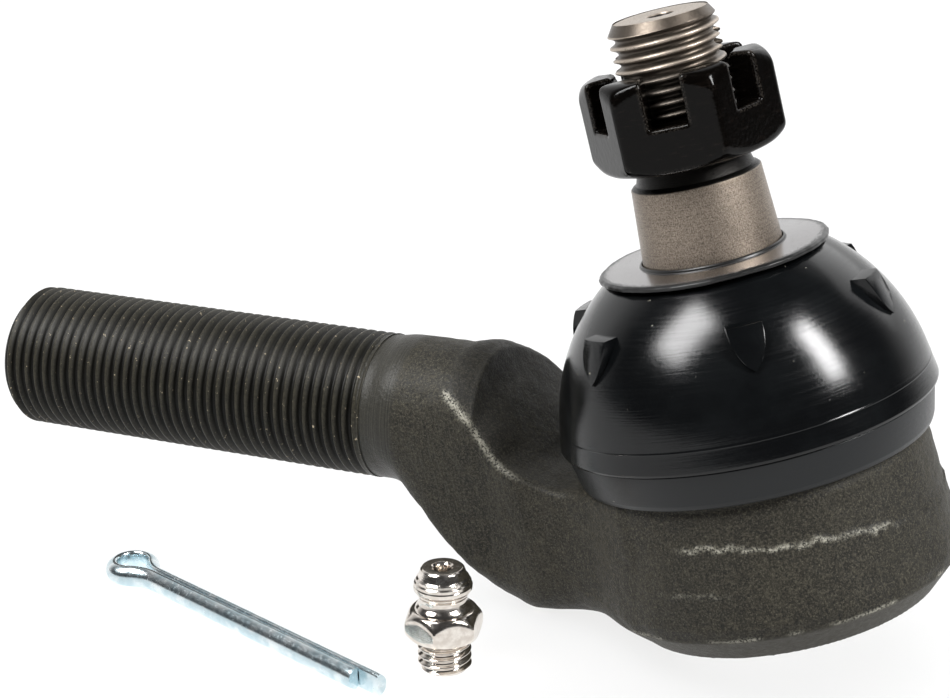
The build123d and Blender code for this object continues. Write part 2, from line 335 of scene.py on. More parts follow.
def boot_rubber():
    p = Paint("boot_rubber")
    x, y, z = p.split(p.mm)
    # Fine drag lines run round the dome.
    wander = p.noise(0.12, 2.0)
    along = p.times(p.math("ARCTAN2", y, x), 1.6)
    place = p.join(p.math("ADD", p.times(wander, 1.5), along), p.times(z, 5.0), 0.0)
    rings = p.noise(1.0, 5.0, 0.75, place)
    mottle = p.noise(2.6, 5.0, 0.7)
    patch = p.noise(0.13, 3.0)
    dust = p.cells(0.42, p.vector("ADD", p.mm, p.join(mottle, p.noise(3.1), 0.0)))
    specks = p.times(p.span(dust, 0.060, 0.035), p.span(p.noise(0.16, 2.0, 0.5), 0.53, 0.62))
    band = p.span(z, 8.75, 8.55)
    p.colour = p.mix(p.span(patch, 0.35, 0.7), (0.0020, 0.0023, 0.0026), (0.0040, 0.0046, 0.0050))
    p.coat(band, (0.0052, 0.0062, 0.0070))
    p.coat(specks, (0.26, 0.25, 0.20))
    rough = p.span(rings, 0.30, 0.75, 0.10, 0.22)
    rough = p.blend(band, rough, p.span(mottle, 0.35, 0.75, 0.30, 0.40))
    p.bump(rings, 0.016, 0.8)
    p.bump(mottle, 0.010, 0.7)
    p.bump(specks, 0.05, 0.5)
    return p.finish(rough, Specular_IOR_Level=0.34)


def disc_plastic():
    """Smooth and grey, as bright as metal, with dark specks that gather at its rim."""
    p = Paint("disc_plastic")
    z = p.split(p.mm)[2]
    radius = p.radius()
    specks = p.noise(3.4, 5.0, 0.8)
    rim = p.span(radius, 13.0, 14.6)
    dark = p.span(p.math("ADD", specks, p.times(rim, 0.26)), 0.60, 0.66)
    lip = p.span(radius, 9.45, 9.30)
    dark = p.math("MAXIMUM", dark, lip)
    ledge = p.math("ADD", z, p.times(specks, 0.5))
    dark = p.math("MAXIMUM", dark, p.span(ledge, 30.02, 29.94))
    p.colour = p.mix(dark, (0.37, 0.36, 0.36), (0.006, 0.006, 0.006))
    rough = p.blend(dark, 0.17, 0.30)
    p.bump(specks, 0.02, 0.5)
    return p.finish(rough, p.blend(dark, 1.0, 0.0), Specular_IOR_Level=0.4)


def stud_steel():
    p = Paint("stud_steel")
    z = p.split(p.mm)[2]
    grain = p.noise(1.0, 5.0, 0.8, p.stretched((7.0, 7.0, 4.5)))
    rings = p.layers(6.5, 2.0, 0.5)
    patch = p.noise(0.25, 3.0, 0.6)
    p.colour = p.mix(p.span(grain, 0.38, 0.62), (0.085, 0.066, 0.051), (0.34, 0.285, 0.23))
    p.coat(p.span(rings, 0.42, 0.66, 0.0, 0.5), (0.31, 0.26, 0.215))
    p.coat(p.span(patch, 0.5, 0.8, 0.0, 0.3), (0.15, 0.12, 0.095))
    # Darker from the top of the taper up to the thread.
    p.coat(p.span(z, 39.62, 39.75), (0.010, 0.009, 0.008))
    p.bump(grain, 0.05, 0.8)
    p.bump(rings, 0.03, 0.8)
    rough = p.span(grain, 0.3, 0.7, 0.28, 0.42)
    return p.finish(rough, 0.8)


def stud_thread_steel():
    p = Paint("stud_thread_steel")
    grain = p.noise(3.6, 4.0, 0.7)
    crest = p.mask("crest")
    p.colour = p.mix(p.span(crest, 0.2, 0.9), (0.085, 0.070, 0.056), (0.42, 0.36, 0.30))
    p.coat(p.span(grain, 0.50, 0.72, 0.0, 0.7), (0.10, 0.082, 0.066))
    z = p.split(p.mm)[2]
    radius = p.radius()
    # Painted shade: the thread is darkened below the nut's top, where the nut covers it.
    nut_shade = p.times(p.span(z, 54.0, 53.4), p.span(radius, 5.0, 5.4))
    p.coat(p.times(nut_shade, 0.8), (0.022, 0.019, 0.016))
    # Painted shade inside the centre drill at the stud's top.
    hollow = p.span(radius, 1.80, 1.66)
    p.coat(hollow, (0.012, 0.010, 0.009))
    p.bump(grain, 0.03, 0.7)
    return p.finish(p.span(grain, 0.3, 0.7, 0.28, 0.45), 0.8)


def nut_black():
    p = Paint("nut_black")
    peel = p.noise(1.3, 3.0, 0.5)
    fine = p.noise(4.0, 4.0, 0.7)
    scuff = p.noise(1.0, 4.0, 0.7, p.stretched((0.5, 0.5, 3.0)))
    p.colour = p.mix(p.span(scuff, 0.55, 0.75, 0.0, 1.0), (0.0012, 0.0009, 0.0007), (0.0062, 0.0044, 0.0036))
    edge = p.mask("wear")
    p.coat(p.times(edge, p.span(fine, 0.45, 0.65)), (0.030, 0.026, 0.022))
    p.bump(peel, 0.05, 0.5)
    p.bump(fine, 0.008, 0.5)
    return p.finish(p.span(fine, 0.3, 0.7, 0.09, 0.17), 0.0, Specular_IOR_Level=0.13)


def bright_zinc():
    p = Paint("bright_zinc", leans=False)
    draw = p.noise(2.0, 4.0, 0.7)
    cloud = p.noise(0.5, 3.0)
    p.colour = p.mix(p.span(cloud, 0.35, 0.7), (0.55, 0.68, 0.73), (0.84, 0.90, 0.92))
    p.bump(draw, 0.008, 0.6)
    return p.finish(p.span(draw, 0.3, 0.7, 0.18, 0.28), 1.0)


def bright_nickel():
    p = Paint("bright_nickel", leans=False)
    rings = p.layers(7.0, 3.0, 0.6)
    cloud = p.noise(1.2, 3.0)
    p.colour = p.mix(p.span(cloud, 0.35, 0.7), (0.68, 0.62, 0.56), (0.86, 0.81, 0.75))
    p.bump(rings, 0.02, 0.7)
    return p.finish(p.span(cloud, 0.3, 0.7, 0.10, 0.18), 1.0)


def sintered_steel():
    p = Paint("sintered_steel")
    pores = p.cells(3.5)
    grain = p.noise(3.0, 4.0, 0.7)
    p.colour = p.mix(p.span(pores, 0.25, 0.05), (0.24, 0.23, 0.215), (0.06, 0.056, 0.05))
    p.bump(grain, 0.03, 0.7)
    return p.finish(p.span(grain, 0.3, 0.7, 0.38, 0.55), 0.85)


def plate_steel():
    p = Paint("plate_steel")
    rings = p.noise(1.0, 3.0, 0.6, p.join(p.times(p.radius(), 3.0), 0.0, 0.0))
    cloud = p.noise(0.4, 4.0)
    p.colour = p.mix(p.span(cloud, 0.35, 0.7), (0.20, 0.20, 0.195), (0.34, 0.335, 0.32))
    p.bump(rings, 0.02, 0.6)
    p.bump(p.noise(2.5, 4.0, 0.7), 0.015, 0.6)
    return p.finish(p.span(cloud, 0.3, 0.7, 0.30, 0.45), 0.9)


def blue_spring_steel():
    p = Paint("blue_spring_steel")
    grain = p.noise(2.5, 4.0, 0.7)
    p.colour = p.mix(p.span(p.noise(0.4, 3.0), 0.35, 0.7), (0.06, 0.07, 0.10), (0.14, 0.13, 0.12))
    p.bump(grain, 0.02, 0.6)
    return p.finish(p.span(grain, 0.3, 0.7, 0.28, 0.42), 0.9)


def floor_paint():
    p = Paint("floor", leans=False)
    cloud = p.noise(0.004, 3.0)
    p.colour = p.mix(cloud, (0.86, 0.86, 0.86), (0.90, 0.90, 0.90))
    p.bump(p.noise(1.5, 3.0), 0.01, 0.3)
    return p.finish(0.55)


# ---- mesh building ----
def new_object(name, points, faces, material, sharp=None):
    """points in mm, faces as an (n, 4) array of quads or a list of polygons."""
    mesh = bpy.data.meshes.new(name)
    points = np.asarray(points, float) * MM
    if isinstance(faces, np.ndarray):
        count, sides = faces.shape
        mesh.vertices.add(len(points))
        mesh.vertices.foreach_set("co", points.ravel())
        mesh.loops.add(count * sides)
        mesh.loops.foreach_set("vertex_index", faces.ravel().astype(np.int32))
        mesh.polygons.add(count)
        mesh.polygons.foreach_set("loop_start", np.arange(0, count * sides, sides, dtype=np.int32))
        mesh.update(calc_edges=True)
        mesh.validate()
    else:
        mesh.from_pydata(points.tolist(), [], faces)
        mesh.validate()
    mesh.polygons.foreach_set("use_smooth", np.ones(len(mesh.polygons), bool))
    if sharp is not None:
        mesh.set_sharp_from_angle(angle=math.radians(sharp))
    mesh.materials.append(material)
    return link_new(name, mesh)


def set_mask(thing, name, values):
    """Give each point a value, or all of them the same one."""
    layer = thing.data.attributes.new(name, "FLOAT", "POINT")
    layer.data.foreach_set("value", np.full(len(thing.data.vertices), values, np.float32))


def points_of(thing):
    co = np.empty(len(thing.data.vertices) * 3)
    thing.data.vertices.foreach_get("co", co)
    return co.reshape(-1, 3) / MM


def grid_faces(rows, columns, wrap=True):
    """Quads over rows x columns points; columns wrap round."""
    r = np.arange(rows - 1)[:, None]
    c = np.arange(columns if wrap else columns - 1)[None, :]
    n = (c + 1) % columns
    here, above = r * columns, (r + 1) * columns
    return np.stack([here + c, here + n, above + n, above + c], -1).reshape(-1, 4)


def rounded(outline, radius, steps=4):
    """An open outline with its inner corners rounded. A point may carry its own radius."""
    result = [outline[0][:2]]
    for before, here, after in zip(outline, outline[1:], outline[2:]):
        size = here[2] if len(here) > 2 else radius
        b, h, a = (np.array(q[:2], float) for q in (before, here, after))
        to_b, to_a = b - h, a - h
        len_b, len_a = np.linalg.norm(to_b), np.linalg.norm(to_a)
        cosine = np.clip(np.dot(to_b, to_a) / (len_b * len_a), -1, 1)
        half = math.acos(cosine) / 2
        if size <= 0 or half > math.radians(86):
            result.append(tuple(h))
            continue
        reach = min(size / math.tan(half), 0.45 * len_b, 0.45 * len_a)
        start, end = h + to_b / len_b * reach, h + to_a / len_a * reach
        for k in range(steps + 1):
            t = k / steps
            q = (1 - t) ** 2 * start + 2 * t * (1 - t) * h + t**2 * end
            result.append(tuple(q))
    result.append(outline[-1][:2])
    return result


def lathe(name, outline, material, segments, sharp, centre=(0, 0)):
    """Turn an open (radius, height) outline about a vertical axis. Ends on the axis close up."""
    rz = np.array(outline, float)
    turn = np.linspace(0, 2 * np.pi, segments, endpoint=False)
    ring = np.stack([np.cos(turn), np.sin(turn)], -1)
    points = np.concatenate([rz[:, None, :1] * ring[None], np.repeat(rz[:, None, 1:], segments, 1)], -1)
    points = points.reshape(-1, 3) + (*centre, 0)
    thing = new_object(name, points, grid_faces(len(rz), segments), material)
    weld(thing, sharp=sharp)
    return thing


def weld(thing, distance_mm=0.0005, sharp=None):
    work = bmesh.new()
    work.from_mesh(thing.data)
    bmesh.ops.remove_doubles(work, verts=work.verts, dist=distance_mm * MM)
    bmesh.ops.dissolve_degenerate(work, edges=work.edges, dist=distance_mm * MM)
    bmesh.ops.recalc_face_normals(work, faces=work.faces)
    work.to_mesh(thing.data)
    work.free()
    thing.data.update()
    if sharp is not None:
        thing.data.set_sharp_from_angle(angle=math.radians(sharp))


def arc(centre, radius, start, end, count):
    """(radius, height) points of an arc in the half plane, angles in degrees from +r."""
    turn = np.radians(np.linspace(start, end, count))
    return [(centre[0] + radius * math.cos(t), centre[1] + radius * math.sin(t)) for t in turn]


# ---- distance fields and their meshes ----
def polygon_distance(x, y, corners):
    """Signed distance to a closed polygon, negative inside."""
    nearest = np.full(x.shape, np.inf)
    sign = np.ones(x.shape)
    for k, (ax, ay) in enumerate(corners):
        bx, by = corners[k - 1]
        ex, ey = bx - ax, by - ay
        wx, wy = x - ax, y - ay
        t = np.clip((wx * ex + wy * ey) / (ex * ex + ey * ey), 0, 1)
        nearest = np.minimum(nearest, (wx - ex * t) ** 2 + (wy - ey * t) ** 2)
        above, below, side = y >= ay, y < by, ex * wy > ey * wx
        flip = (above & below & side) | (~above & ~below & ~side)
        sign = np.where(flip, -sign, sign)
    return sign * np.sqrt(nearest)


def soft_min(a, b, k):
    h = np.maximum(k - np.abs(a - b), 0) / k
    return np.minimum(a, b) - h * h * k / 4


def soft_max(a, b, k):
    return -soft_min(-a, -b, k)


def turned(x, y, degrees):
    """Points turned about the vertical axis."""
    c, s = math.cos(math.radians(degrees)), math.sin(math.radians(degrees))
    return x * c - y * s, x * s + y * c


def hexagon(x, y, half_width, turn, soft):
    """Distance out from a hexagon's flats, with softened corners."""
    flats = [np.abs(turned(x, y, -60 * k - turn)[0]) - half_width for k in range(3)]
    return soft_max(soft_max(flats[0], flats[1], soft), flats[2], soft)


def ramp(x, low, high):
    """0 below low and 1 above high, with a smooth rise between."""
    t = np.clip((x - low) / (high - low), 0, 1)
    return t * t * (3 - 2 * t)


def waves(x, y, z, size, seed, count=14):
    """Smooth unevenness between about -1 and 1, with features of the given size."""
    rng = np.random.default_rng(seed)
    total = 0.0
    for _ in range(count):
        way = rng.normal(size=3)
        way *= 2 * np.pi / (size * rng.uniform(0.7, 1.6)) / np.linalg.norm(way)
        total = total + np.sin(way[0] * x + way[1] * y + way[2] * z + rng.uniform(0, 2 * np.pi))
    return total / math.sqrt(count / 2) * 0.6


def net(field, axes):
    """Surface net of field's zero level on a grid given by three coordinate arrays."""
    x, y, z = np.meshgrid(*axes, indexing="ij")
    values = field(x, y, z)
    inside = values < 0
    shape = tuple(n - 1 for n in values.shape)
    total = np.zeros((*shape, 3))
    count = np.zeros(shape)
    steps = {}
    for axis in range(3):
        low = [slice(None)] * 3
        high = [slice(None)] * 3
        low[axis], high[axis] = slice(None, -1), slice(1, None)
        a, b = values[tuple(low)], values[tuple(high)]
        crossing = inside[tuple(low)] != inside[tuple(high)]
        t = np.where(crossing, a / np.where(crossing, a - b, 1), 0)
        place = [c[tuple(low)] for c in (x, y, z)]
        place[axis] = place[axis] + t * ((x, y, z)[axis][tuple(high)] - place[axis])
        place = np.stack(place, -1)
        others = [k for k in range(3) if k != axis]
        for i in (0, 1):
            for j in (0, 1):
                cut = [slice(None)] * 3
                cut[others[0]] = slice(i, shape[others[0]] + i)
                cut[others[1]] = slice(j, shape[others[1]] + j)
                mask = crossing[tuple(cut)]
                total += np.where(mask[..., None], place[tuple(cut)], 0)
                count += mask
        steps[axis] = (crossing, inside[tuple(low)], others)
    used = count > 0
    number = np.full(shape, -1)
    number[used] = np.arange(used.sum())
    points = total[used] / count[used][:, None]
    quads = []
    for axis, (crossing, starts_inside, others) in steps.items():
        where = np.argwhere(crossing)
        p, q = others
        keep = (where[:, p] > 0) & (where[:, q] > 0) & (where[:, p] < shape[p]) & (where[:, q] < shape[q])
        where = where[keep]
        corner = []
        for dp, dq in ((-1, -1), (0, -1), (0, 0), (-1, 0)):
            cell = where.copy()
            cell[:, p] += dp
            cell[:, q] += dq
            corner.append(number[cell[:, 0], cell[:, 1], cell[:, 2]])
        quad = np.stack(corner, -1)
        flip = starts_inside[where[:, 0], where[:, 1], where[:, 2]] != (axis != 1)
        quad[flip] = quad[flip][:, ::-1]
        quads.append(quad)
    return points, np.concatenate(quads)


def slope(field, points, step=0.02):
    gradient = np.empty_like(points)
    for axis in range(3):
        shift = np.zeros(3)
        shift[axis] = step
        ahead, behind = points + shift, points - shift
        gradient[:, axis] = (field(*ahead.T) - field(*behind.T)) / (2 * step)
    return gradient


def settle(field, points, reach, rounds=4):
    """Move points onto the field's zero level."""
    start = points.copy()
    for _ in range(rounds):
        gradient = slope(field, points)
        size = np.maximum((gradient**2).sum(-1), 0.05)
        points = points - (field(*points.T) / size)[:, None] * gradient
        points = start + np.clip(points - start, -reach, reach)
    return points


def field_object(name, field, axes, material, reach=0.5):
    points, quads = net(field, axes)
    points = settle(field, points, reach)
    return new_object(name, points, quads, material)


def bend_of(field, points, step=0.35):
    """How sharply the surface turns outward, from the field's Laplacian."""
    total = -6 * field(*points.T)
    for axis in range(3):
        shift = np.zeros(3)
        shift[axis] = step
        total = total + field(*(points + shift).T) + field(*(points - shift).T)
    return total / step**2


def steps_between(*stretches):
    """Coordinates with a given step over each (start, end, step) stretch."""
    parts = [np.arange(a, b, s) for a, b, s in stretches]
    return np.concatenate(parts + [[stretches[-1][1]]])


# ---- forging ----
def along_shank(x, z):
    """Distance from the free end along the shank, and height above its axis."""
    ox, oz = SHANK_TIP
    s = (x - ox) * math.cos(TILT) - (z - oz) * math.sin(TILT)
    h = (x - ox) * math.sin(TILT) + (z - oz) * math.cos(TILT)
    return s, h


SOCKET = [
    (0, BASE), (RIM_RADIUS, BASE), (22.75, BASE + 3.5), (23.1, BASE + 5.2),
    (21.95, 2.6), (21.65, 3.4), (21.65, 7.9), (20.9, 8.5), (0, 8.5),
]
HOLLOW = [
    (0, BASE - 3), (16.1, BASE - 3), (16.1, BASE + 1.0), (17.38, BASE + 1.0), (17.38, BASE + 3.45),
    (16.0, BASE + 3.45), (16.0, 6.05), (12.9, 6.05), (13.9, 12), (0, 12),
]


def curve_points(a, middle, b, count=8):
    """Points of the circle through three points, from a to b."""
    (ax, ay), (mx, my), (bx, by) = a, middle, b
    d = 2 * (ax * (my - by) + mx * (by - ay) + bx * (ay - my))
    aa, mm, bb = ax * ax + ay * ay, mx * mx + my * my, bx * bx + by * by
    ux = (aa * (my - by) + mm * (by - ay) + bb * (ay - my)) / d
    uy = (aa * (bx - mx) + mm * (ax - bx) + bb * (mx - ax)) / d
    radius = math.hypot(ax - ux, ay - uy)
    start = math.atan2(ay - uy, ax - ux)
    turn = [(math.atan2(q[1] - uy, q[0] - ux) - start) % (2 * math.pi) for q in (middle, b)]
    sweep = turn[1] if turn[0] < turn[1] else turn[1] - 2 * math.pi
    return [
        (ux + radius * math.cos(start + sweep * k / count), uy + radius * math.sin(start + sweep * k / count))
        for k in range(count + 1)
    ]


NECK = (
    [(-46.0, 1.6)]
    + curve_points((-41.6, -5.3), (-38.1, -10.3), (-32.2, -13.7))
    + [(-20.0, -14.6), (-12.0, -14.6), (-12.0, 3.8)]
    + curve_points((-22.5, 3.6), (-25.2, 4.7), (-27.1, 7.4))
    + curve_points((-34.0, 19.3), (-36.0, 22.4), (-40.2, 24.1))
    + [(-46.0, 25.6), (-54.0, 27.2), (-56.0, 5.0), (-49.5, 3.4)]
)


def neck_half(x):
    """Half the neck's width, which grows a little towards the socket."""
    return 10.4 + 1.4 * ramp(x, -36, -29)


def ramp_distance(x, z):
    """Distance out from the sloping face that drops from the neck's crown to the socket."""
    return 0.865 * (x + 27.1) + 0.501 * (z - 7.4)


def lopsided(x, y, z):
    """Where to read the neck's outline: its sloping face falls away towards the -Y side."""
    return x + (0.0141 * y * y - 0.214 * y) * ramp(z, 3.0, 9.0)


def trim_height(turn):
    """Height of the trim line round the socket, by angle from -X in degrees."""
    knots = [0, 40, 74, 88, 113, 135, 153, 180]
    heights = [-1.0, -1.2, -1.4, -1.4, -2.4, -3.0, -4.4, -5.2]
    return np.interp(turn, knots, heights)


def trim_jag(x, y, z):
    return 0.25 * waves(x, y, z, 2.2, 5) + 0.25 * waves(x, y, z, 0.9, 6)


def angle_from_shank(x, y):
    return 180 - np.abs(np.degrees(np.arctan2(y, x)))


def forged_skin(x, y, z):
    """Scale and unevenness of the forged surface, and the step at its trim line."""
    radius = np.hypot(x, y)
    turn = angle_from_shank(x, y)
    s = along_shank(x, z)[0]
    forged = ramp(s, 62.5, 64.5) * ramp(z, BASE + 3.3, BASE + 4.2)
    forged = forged * (1 - ramp(z, 3.6, 4.2) * ramp(-radius, -25, -23))
    above = z - trim_height(turn) - trim_jag(x, y, z)
    near = np.exp(-((above / 0.30) ** 2))
    front = ramp(turn, 62, 80) * (1 - 0.55 * ramp(turn, 150, 175)) * ramp(radius, 20.5, 21.5)
    step = 0.22 * ramp(above, -0.4, 0.4)
    ridge = near * (0.14 + 0.08 * waves(x, y, z, 3.5, 7))
    second = 0.09 * np.exp(-(((above + 5.8) / 0.30) ** 2)) * ramp(turn, 66, 76) * (1 - ramp(turn, 84, 98))
    uneven = 0.07 * waves(x, y, z, 6.0, 1) + 0.03 * waves(x, y, z, 2.0, 2, 18)
    return forged * (front * (step - ridge - second) + uneven)


def forging_field(x, y, z):
    radius = np.hypot(x, y)
    socket = polygon_distance(radius, z, SOCKET)
    s, h = along_shank(x, z)
    profile = polygon_distance(lopsided(x, y, z), z, NECK)
    wall = np.interp(z, [BASE, -11.8, 2.6], [22.6, 23.1, 21.9])
    plan = soft_min(np.maximum(np.abs(y - 0.3) - neck_half(x), x + 6), radius - wall, 8.0)
    neck = soft_max(profile, plan, 1.3 + 4.2 * ramp(-z, 1, 12))
    crown_r = 9.85 + 0.03 * (s - 62.5) + 0.55 * np.maximum(s - 69.5, 0) + 1.2 * np.maximum(s - 79, 0)
    crown = 0.9 * (np.hypot(y + 0.8, h) - crown_r)
    belly = (np.hypot(y, h) - 9.9 - (s - 62.5) * 1.15) * 0.656
    neck = soft_max(neck, belly + (crown - belly) * ramp(h, -7.0, 1.0), 2.6)
    neck = soft_max(neck, 60.2 - s, 2.0)
    collar = np.maximum(np.hypot(y, h) - 9.85, np.maximum(57.0 - s, s - 74))
    solid = soft_min(neck, socket, 1.6)
    solid = soft_min(solid, collar, 2.0)
    skin = np.abs(solid) < 1.2
    solid[skin] += forged_skin(x[skin], y[skin], z[skin])
    hollow = polygon_distance(radius, z, HOLLOW)
    return np.maximum(solid, -hollow)


def build_forging(material):
    axes = (
        steps_between((-54.2, 24.2, 0.42)),
        steps_between((-24.2, 24.2, 0.42)),
        steps_between((-17.6, -11.5, 0.28), (-11.5, 9.2, 0.42), (9.2, 27.5, 0.45)),
    )
    forging = field_object("forging", forging_field, axes, material, 0.4)
    points = points_of(forging)
    x, y, z = points.T
    s = along_shank(x, z)[0]
    radius = np.hypot(x, y)
    turn = angle_from_shank(x, y)
    slant, flank = ramp_distance(lopsided(x, y, z), z), np.abs(y - 0.3) - neck_half(x)
    # Partly painted highlight: ridge is a bright band along the neck's near ridge, brighter higher up, with
    # real wear flecks through it.
    upper = ramp(x, -40.5, -37.5) * ramp(-x, 28.0, 30.5) * ramp(slant + flank, -3.6, -2.2)
    patchy = 0.35 + 0.65 * ramp(waves(x, y, z, 2.2, 11), -1.4, -0.1)
    ridge = np.exp(-(((slant - flank) / 0.50) ** 2)) * upper * (0.6 + 0.4 * ramp(z, 9, 14)) * patchy
    above = z - trim_height(turn) - trim_jag(x, y, z)
    line = np.exp(-((above / 0.22) ** 2)) * ramp(turn, 76, 86) * (1 - ramp(turn, 140, 158))
    second = 0.35 * np.exp(-(((above + 5.8) / 0.16) ** 2)) * ramp(turn, 66, 76) * (1 - ramp(turn, 84, 98))
    low = np.exp(-(((z - BASE - 3.75) / 0.22) ** 2)) * ramp(waves(x, y, z, 4, 9), 0.1, 0.6) * 0.7
    outside = ramp(radius, 21.0, 21.6)
    # The wear mask holds real wear along the trim lines and the rim's edge, and the painted highlight along
    # the ridge.
    set_mask(forging, "wear", np.clip(ridge + (line * 0.7 + second + low) * outside, 0, 1))
    side = ramp(flank, -1.2, -0.4) * ramp(-x, 20, 25) * ramp(s, 62, 65)
    front = ramp(-above, 0.0, 1.0) * ramp(z, BASE + 4, BASE + 5) * outside * 0.35
    set_mask(forging, "shear", np.clip(side + front, 0, 1))
    # Painted shade on the sloping face from the crown to the socket, kept in the scale mask.
    painted_ramp_shade = ramp(slant, -3.0, -0.6) * ramp(-flank, 0.3, 1.6) * ramp(x, -39.5, -35.0)
    set_mask(forging, "scale", np.clip(painted_ramp_shade * ramp(-x, 20.0, 23.0), 0, 1))
    set_mask(forging, "collar", 1 - ramp(s, 62.2, 63.4))
    cut = (1 - ramp(z, BASE + 3.4, BASE + 3.9)) * ramp(radius, 19.0, 19.5)
    set_mask(forging, "turned", cut)
    return forging


def thread_points(crest, root, pitch, end, tip_chamfer, fade, segments=128, lead=0.0, slope=1.0):
    """Rows of a helical thread. Each row follows the helix, so crests stay crisp."""
    share = np.array([0.0, 0.10, 0.22, 0.40, 0.46, 0.54, 0.60, 0.78, 0.90])
    shape = np.array([0.0, 0.03, 0.25, 0.93, 1.0, 1.0, 0.93, 0.25, 0.03])
    turn = np.linspace(0, 2 * np.pi, segments + 1)
    rows, heights = [], []
    for t in range(int(end / pitch) + 3):
        for part, level in zip(share, shape):
            rows.append((t - 1 + part) * pitch + pitch * turn / (2 * np.pi) - pitch)
            heights.append(np.full(segments + 1, level))
    place = np.clip(np.array(rows), 0, end)
    level = np.array(heights)
    depth = (crest - root) * ramp(end - place, 0, fade) * (ramp(place, lead, lead + 0.8) if lead else 1)
    radius = crest - depth * (1 - level)
    radius = np.minimum(radius, root - 0.55 * tip_chamfer + place * slope + 0.15)
    return turn, place, radius


def thread_object(name, place_fn, material, **sizes):
    """A threaded length. place_fn maps (radius, turn, distance from the tip) to mm points."""
    turn, place, radius = thread_points(**sizes)
    turn = np.broadcast_to(turn, place.shape)
    points = np.stack(place_fn(radius, turn, place), -1).reshape(-1, 3)
    thing = new_object(name, points, grid_faces(*place.shape, wrap=False), material)
    crest = np.clip((radius - sizes["root"]) / (sizes["crest"] - sizes["root"]), 0, 1)
    set_mask(thing, "crest", ramp(crest, 0.72, 1.0).ravel())
    weld(thing, sharp=50)
    return thing


def on_shank(radius, turn, s):
    ox, oz = SHANK_TIP
    across, lift = radius * np.cos(turn), radius * np.sin(turn)
    return (
        ox + s * math.cos(TILT) + lift * math.sin(TILT),
        across,
        oz - s * math.sin(TILT) + lift * math.cos(TILT),
    )


def build_shank(material):
    thread = thread_object(
        "shank_thread", on_shank, material,
        crest=9.97, root=9.12, pitch=THREAD_PITCH, end=57.8, tip_chamfer=1.1, fade=1.6,
    )
    tip = [(0.0, 2.0), (1.1, 1.4), (1.7, 0.1, 0.2), (8.0, 0.0, 0.3), (8.75, 0.22)]
    rz = np.array(rounded(tip, 0.2))
    turn = np.linspace(0, 2 * np.pi, 128, endpoint=False)
    spots = np.stack(on_shank(rz[:, :1], turn[None], rz[:, 1:] + 0 * turn[None]), -1).reshape(-1, 3)
    face = new_object("shank_end", spots, grid_faces(len(rz), 128), material)
    set_mask(face, "crest", 0.3)
    weld(face)
    return thread, face


# ---- boot ----
BOOT_SPLIT = 17.0
DOME_CENTRE, DOME_R = (-1.53, 8.14), 25.7


def dome_radius(z):
    return DOME_CENTRE[0] + math.sqrt(DOME_R**2 - (z - DOME_CENTRE[1]) ** 2)


def dome_line(low, high, count, inset=0.0):
    heights = np.linspace(low, high, count)
    return [(dome_radius(z) - inset, z) for z in heights]


def boot_nub(degrees):
    """One moulded wedge: a tapering face with square sides, lowest at its foot."""
    top, foot, half = 24.7, 19.4, 2.2
    shares = 1 - (1 - np.linspace(0, 1, 13)) ** 1.6
    outline = [(half * (1 - t**2.4) ** 0.8, top + (foot - top) * t) for t in shares]
    left = [(-w, z) for w, z in outline]
    right = [(w, z) for w, z in reversed(outline[:-1])]
    loop = left + right + [(half * k, top) for k in (0.75, 0.5, 0.25, 0.0, -0.25, -0.5, -0.75)]
    soft = 0.16
    rings = [(None, 0.0), (-soft, 0.0), (-soft * 0.3, soft * 0.3), (0.0, soft)]
    points = []
    for sink, inset in rings:
        for w, z in loop:
            lift = (z - foot) / (top - foot)
            proud = 0.32 + 1.75 * lift - 0.2 * (w / half) ** 2
            radius = dome_radius(z) + (proud + sink if sink is not None else -1.2)
            sz = z - inset * 0.9 if z > top - 0.2 else z + inset * 0.2
            points.append((radius, w * (1 - inset / half), sz))
    n = len(loop)
    faces = grid_faces(len(rings), n).tolist()
    faces.append([(len(rings) - 1) * n + k for k in range(n)])
    x, y, z = np.array(points).T
    return np.stack([*turned(x, y, degrees), z], -1), faces


def build_boot(material):
    skirt = [
        (22.4, 8.6), (22.4, 8.1), (22.5, 7.95), (22.5, 5.2), (21.72, 5.2, 0.1), (21.72, 4.1, 0.2),
        (21.95, 3.9, 0.2), (22.7, 3.9, 0.35), (23.0, 4.6, 0.4), (23.80, 8.55, 0.1), (23.66, 8.78, 0.06),
        (24.26, 8.86, 0.08), (24.40, 9.2, 0.2), (24.27, 10.0, 0.8), (dome_radius(11.3) + 0.02, 11.3, 0.5),
        (dome_radius(11.6) + 0.01, 11.6, 0.05), (dome_radius(11.7) + 0.05, 11.7, 0.05),
        (dome_radius(11.82), 11.82),
    ]
    outer_low = rounded(skirt, 0.1) + dome_line(12.0, BOOT_SPLIT, 22)
    inner_low = dome_line(BOOT_SPLIT, 9.2, 18, 1.7)
    lower = lathe("boot_skirt", inner_low + outer_low, material, 256, 35)
    top = [
        (dome_radius(28.0), 28.0), (14.1, 28.55, 0.3), (13.2, 28.75, 0.3), (9.6, 28.75, 0.3),
        (9.4, 28.0, 0.2), (9.4, 27.0, 0.2), (12.6, 27.0, 0.3),
    ]
    outer_high = dome_line(BOOT_SPLIT, 27.7, 36) + rounded(top, 0.2)
    inner_high = dome_line(26.6, BOOT_SPLIT, 24, 1.7)
    upper = lathe("boot_dome", outer_high + inner_high, material, 256, 35)
    add_nubs(upper, material)
    return lower, upper


def add_nubs(dome, material):
    parts = [boot_nub(60 * k - 3) for k in range(6)]
    made = [new_object(f"nub_{k}", points, faces, material, 40) for k, (points, faces) in enumerate(parts)]
    join([dome] + made)


def join(things):
    """Join meshes into the first one."""
    with bpy.context.temp_override(
        active_object=things[0], object=things[0], selected_objects=things, selected_editable_objects=things
    ):
        bpy.ops.object.join()
    return things[0]


